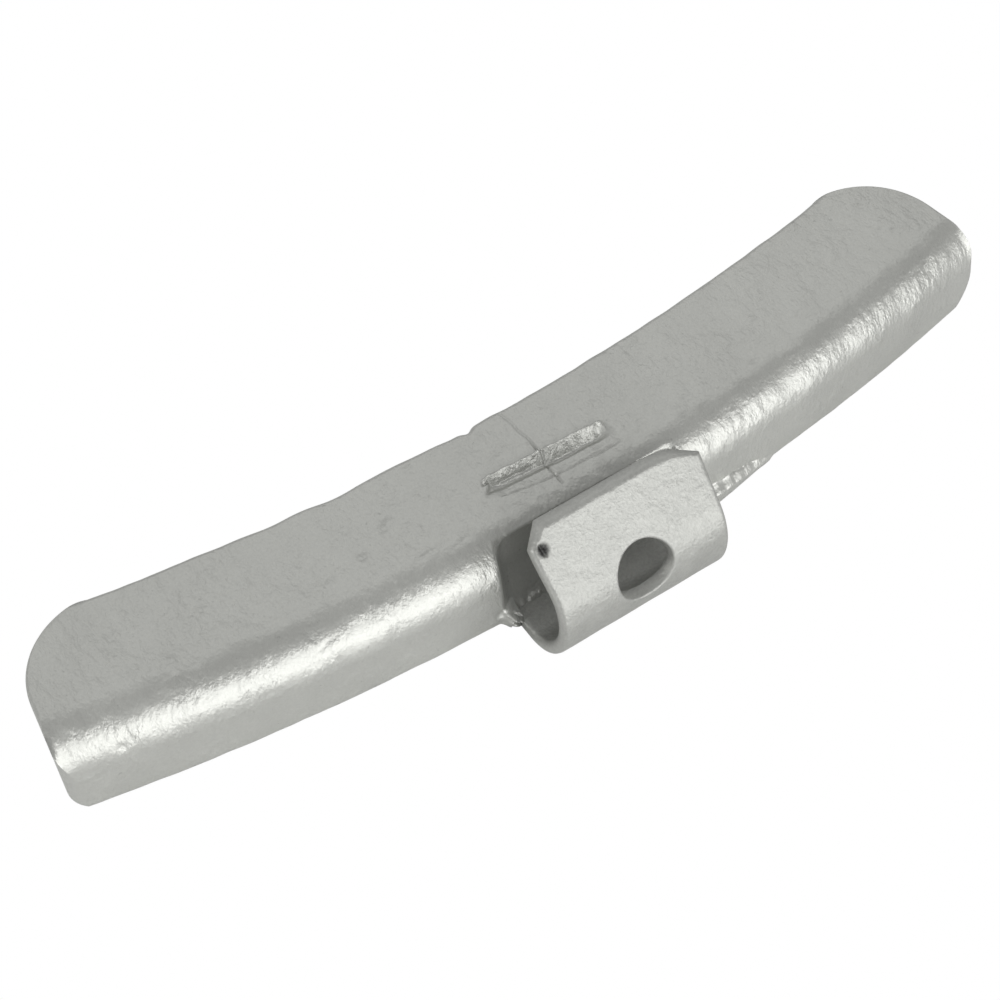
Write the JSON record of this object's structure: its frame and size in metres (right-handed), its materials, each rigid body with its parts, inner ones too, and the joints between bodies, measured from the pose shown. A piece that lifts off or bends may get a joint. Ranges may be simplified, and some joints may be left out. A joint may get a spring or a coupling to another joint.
{
  "type": "wheel balance weight",
  "caption": "Clip-on wheel balance weight: a curved cast metal body with a spring-steel clip that grips the lip of a car wheel's rim.",
  "frame": {"origin": "on the outer face that the weight rests on, halfway along the body and halfway across it", "axes": "+X along the weight; +Y from the clip's side in towards the wheel's centre; +Z out of the face that meets the wheel, parallel to the wheel's axle"},
  "size_m": [0.0894, 0.0224, 0.0126],
  "materials": {
    "weight_body": "silver-grey coating over cast zinc alloy, finely wrinkled, satin",
    "spring_clip": "smooth silver-grey coating over spring steel, satin"
  },
  "bodies": {
    "root": {"weight_body": "weight_body", "spring_clip": "spring_clip"}
  },
  "joints": []
}
